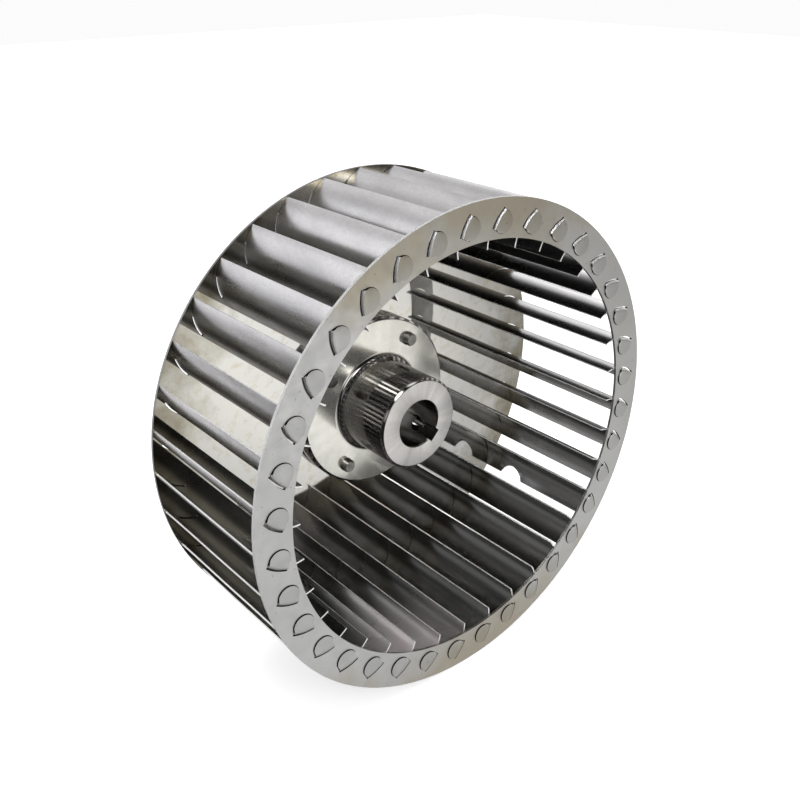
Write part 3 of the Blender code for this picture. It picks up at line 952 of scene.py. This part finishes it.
# The head, with its washer face, its turned-off crown and the dish in it.
HEAD_FLATS = 0.013
HEAD_HEIGHT = 0.0053
HEAD_SEAT = DISC_REAR + 0.0003
HEAD_STEPS = 96
WASHER_RADIUS = 0.46 * HEAD_FLATS
WASHER_HEIGHT = 0.0003
CROWN_RADIUS = 0.475 * HEAD_FLATS
CROWN_LIP = 0.0006
CROWN_DISH = 0.0001
CORNER_BREAK = 0.0002

# The threaded shank, from its chamfered end to where it joins the head.
SHANK_END = RING_FRONT + 0.0828
SHANK_IN_HEAD = 0.001
SHANK_LENGTH = HEAD_SEAT + SHANK_IN_HEAD - SHANK_END
SHANK_CORE, SHANK_CREST = 0.0034, 0.0040
TIP_RADIUS = 0.0032


def hexagon_head():
    """Points and faces of a hexagon head along +Z with its crown turned off at 30 degrees.

    The outline is half the flats over the cosine of the angle to the nearest flat. The side
    ends where a cone, 30 degrees off the crown, meets it, and the crown is dished a little.
    """
    turn = 2 * np.pi * np.arange(HEAD_STEPS) / HEAD_STEPS
    flat_turn = (turn + np.pi / 6) % (np.pi / 3) - np.pi / 6
    outline = HEAD_FLATS / 2 / np.cos(flat_turn)
    shoulder = HEAD_HEIGHT - (outline - CROWN_RADIUS) * math.tan(math.pi / 6)
    rows = [(0.0, 0.0),
            (WASHER_RADIUS, 0.0),
            (WASHER_RADIUS, WASHER_HEIGHT),
            (outline - CORNER_BREAK, WASHER_HEIGHT),
            (outline, WASHER_HEIGHT + CORNER_BREAK),
            (outline, shoulder),
            (CROWN_RADIUS, HEAD_HEIGHT),
            (CROWN_RADIUS - CROWN_LIP, HEAD_HEIGHT - CROWN_DISH),
            (0.0, HEAD_HEIGHT - CROWN_DISH)]
    radius = np.stack([np.broadcast_to(row[0], turn.shape) for row in rows])
    z = np.stack([np.broadcast_to(row[1], turn.shape) for row in rows])
    points = np.stack([radius * np.cos(turn), radius * np.sin(turn), z], axis=-1)
    return points, grid_faces(len(rows), HEAD_STEPS, wrap_columns=True)


def plain_screw_steel():
    """Plain screw steel: duller than the hub, greyer, with small scuffs, darkened as painted shade.
    """
    finish, shader = steel("plain_screw")
    links = finish.node_tree.links
    clouds = noise(finish, (1, 1, 1), 260.0, detail=4.0)
    links.new(blended(finish, ranged(finish, clouds, 0.35, 0.7),
                      (0.17, 0.165, 0.15), (0.42, 0.41, 0.385)), shader.inputs["Base Color"])
    links.new(ranged(finish, clouds, 0.25, 0.75, 0.22, 0.42), shader.inputs["Roughness"])
    scuffs = noise(finish, (1, 1, 1), 1500.0, detail=3.0)
    bumped(finish, shader, (scuffs, 0.00003, 0.4))
    return finish


screw_finish = plain_screw_steel()
for number in range(SCREW_COUNT):
    clock = FIRST_SCREW_CLOCK + number * 360.0 / SCREW_COUNT
    shank_points, shank_faces = thread_bar(0.0, SHANK_LENGTH, SHANK_CORE, SHANK_CREST, THREAD_PITCH)
    shank_points[..., 2] = SHANK_LENGTH - shank_points[..., 2]
    radius = np.linalg.norm(shank_points[..., :2], axis=-1, keepdims=True)
    limit = TIP_RADIUS + shank_points[..., 2:]
    shank_points[..., :2] *= np.minimum(1.0, limit / np.maximum(radius, 1e-6))
    head_points, head_faces = hexagon_head()
    head_points[..., 2] += HEAD_SEAT - SHANK_END
    points, faces = two_meshes((shank_points.reshape(-1, 3), shank_faces),
                               (head_points.reshape(-1, 3), head_faces))
    along = points[..., [0, 2, 1]]
    along[..., 1] += SHANK_END
    along[..., 2] += SCREW_CIRCLE
    screw = surface(f"hexagon_screw_{number + 1}", turned_to(along, clock), faces, merge=CLEAN_SEAM)
    screw.data.set_sharp_from_angle(angle=CREASE)
    screw.data.materials.append(screw_finish)
    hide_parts(f"flange_screw_{number + 1}")
    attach(screw, "root")


# Studio. A plain pale floor and backdrop. Besides the painted light and shade in its finishes,
# the bare metal takes its look from the room it mirrors: a pale table all round, a bright sweep
# behind, windows to the right, and dark gaps between them. The room is made of soft patches of
# light.

FLOOR_HALF = 4.0
FLOOR_DROP = 0.0002
FLOOR_TONE, FLOOR_GLOW = 0.72, 0.62
BACKDROP_GLOW = 0.97
OVERHEAD_POWER = 1.3
ROOM_BASE = 0.03
ROOM_PATCHES = {
    # patch: (degrees round from the front towards the right, degrees up, half width, light, warmth)
    "sweep behind, near the table": (182, -14, 34, 2.2, 0.00),
    "sweep behind": (184, 22, 40, 0.42, 0.00),
    "sweep behind, high": (176, 46, 34, 0.62, 0.01),
    "wall behind and to the left": (230, 14, 34, 1.25, 0.00),
    "sweep behind, to the right": (128, 18, 30, 1.12, 0.00),
    "table behind": (214, -42, 21, 0.22, 0.00),
    "wall to the left": (272, 12, 34, 0.40, 0.00),
    "table to the left": (268, -42, 34, 0.25, 0.02),
    "table in front": (20, -34, 40, 0.68, 0.00),
    "lit table ahead": (33, -21, 13, 0.46, 0.02),
    "table, front right": (66, -25, 24, 0.25, 0.01),
    "wall, front right": (50, 2, 26, 0.25, 0.08),
    "table to the right": (100, -42, 34, 0.90, 0.02),
    "window to the right": (98, 18, 40, 1.30, 0.01),
    "window in front": (-8, 15, 17, 2.50, 0.00),
    "lamp": (-13, 44, 13, 9.00, 0.00),
    "window, front left": (-42, 12, 14, 0.60, 0.00),
    "window, front right, high": (40, 54, 15, 2.20, 0.00),
    "lamps overhead": (200, 78, 30, 0.60, 0.00),
}


def pale_finish(name, tone, glow):
    """A matt studio surface with a little light of its own, which keeps shadows faint."""
    finish = bpy.data.materials.new(name)
    finish.use_nodes = True
    shader = finish.node_tree.nodes["Principled BSDF"]
    shader.inputs["Base Color"].default_value = (tone, tone, tone, 1.0)
    shader.inputs["Roughness"].default_value = 0.9
    shader.inputs["Specular IOR Level"].default_value = 0.0
    shader.inputs["Emission Color"].default_value = (1.0, 1.0, 1.0, 1.0)
    shader.inputs["Emission Strength"].default_value = glow
    return finish


bpy.ops.mesh.primitive_plane_add(size=2 * FLOOR_HALF,
                                 location=(0.0, 0.0, cad_box[0][2] - FLOOR_DROP))
floor = bpy.context.object
floor.name = "studio_floor"
floor.data.materials.append(pale_finish("pale_floor", FLOOR_TONE, FLOOR_GLOW))
floor.visible_glossy = False

bpy.ops.mesh.primitive_uv_sphere_add(radius=2 * FLOOR_HALF, segments=48, ring_count=24)
backdrop = bpy.context.object
backdrop.name = "studio_backdrop"
backdrop.data.materials.append(pale_finish("pale_backdrop", 0.0, BACKDROP_GLOW))
for kind in ("glossy", "diffuse", "shadow", "transmission"):
    setattr(backdrop, f"visible_{kind}", False)

overhead_data = bpy.data.lights.new("overhead", "SUN")
overhead_data.energy = OVERHEAD_POWER
overhead_data.angle = math.radians(75)
overhead = bpy.data.objects.new("overhead", overhead_data)
overhead.rotation_euler = (math.radians(10), math.radians(-12), 0.0)
overhead.visible_glossy = False
bpy.context.scene.collection.objects.link(overhead)

world = bpy.data.worlds.new("room")
bpy.context.scene.world = world
world.use_nodes = True
room = world.node_tree
room.nodes.clear()
out = room.nodes.new("ShaderNodeOutputWorld")
background = room.nodes.new("ShaderNodeBackground")
room.links.new(background.outputs["Background"], out.inputs["Surface"])
where = room.nodes.new("ShaderNodeTexCoord")
lit = None
for around, up, half_width, light, warmth in ROOM_PATCHES.values():
    turn, rise = math.radians(around), math.radians(up)
    alignment = room.nodes.new("ShaderNodeVectorMath")
    alignment.operation = "DOT_PRODUCT"
    alignment.inputs[1].default_value = (
        math.sin(turn) * math.cos(rise), -math.cos(turn) * math.cos(rise), math.sin(rise))
    room.links.new(where.outputs["Generated"], alignment.inputs[0])
    patch = room.nodes.new("ShaderNodeMapRange")
    patch.interpolation_type = "SMOOTHSTEP"
    patch.inputs["From Min"].default_value = math.cos(math.radians(half_width))
    room.links.new(alignment.outputs["Value"], patch.inputs["Value"])
    stack = room.nodes.new("ShaderNodeVectorMath")
    stack.operation = "MULTIPLY_ADD"
    stack.inputs[1].default_value = (light * (1 + warmth), light, light * (1 - 2 * warmth))
    stack.inputs[2].default_value = (ROOM_BASE,) * 3
    room.links.new(patch.outputs["Result"], stack.inputs[0])
    if lit is not None:
        room.links.new(lit, stack.inputs[2])
    lit = stack.outputs["Vector"]
room.links.new(lit, background.inputs["Color"])


# Camera. It stands close by, in front of the inlet, to its left and above the rim, so that the
# ring, the hub and the left flank all show.

CAMERA_PLACE = (-0.30555, RING_FRONT - 0.30699, 0.24976)
CAMERA_AZIMUTH, CAMERA_ELEVATION = 41.87, 25.32
CAMERA_SENSOR, CAMERA_LENS = 36.0, 41.316
CAMERA_SHIFT = (-0.0445, -0.0255)
camera_data = bpy.data.cameras.new("camera")
camera_data.sensor_width = CAMERA_SENSOR
camera_data.lens = CAMERA_LENS
camera_data.shift_x, camera_data.shift_y = CAMERA_SHIFT
camera_data.clip_start = 0.01
camera_data.clip_end = 100.0
camera = bpy.data.objects.new("camera", camera_data)
camera.location = CAMERA_PLACE
camera.rotation_euler = (math.radians(90 - CAMERA_ELEVATION), 0.0, math.radians(-CAMERA_AZIMUTH))
bpy.context.scene.collection.objects.link(camera)
bpy.context.scene.camera = camera
bpy.context.scene.view_settings.view_transform = "Standard"
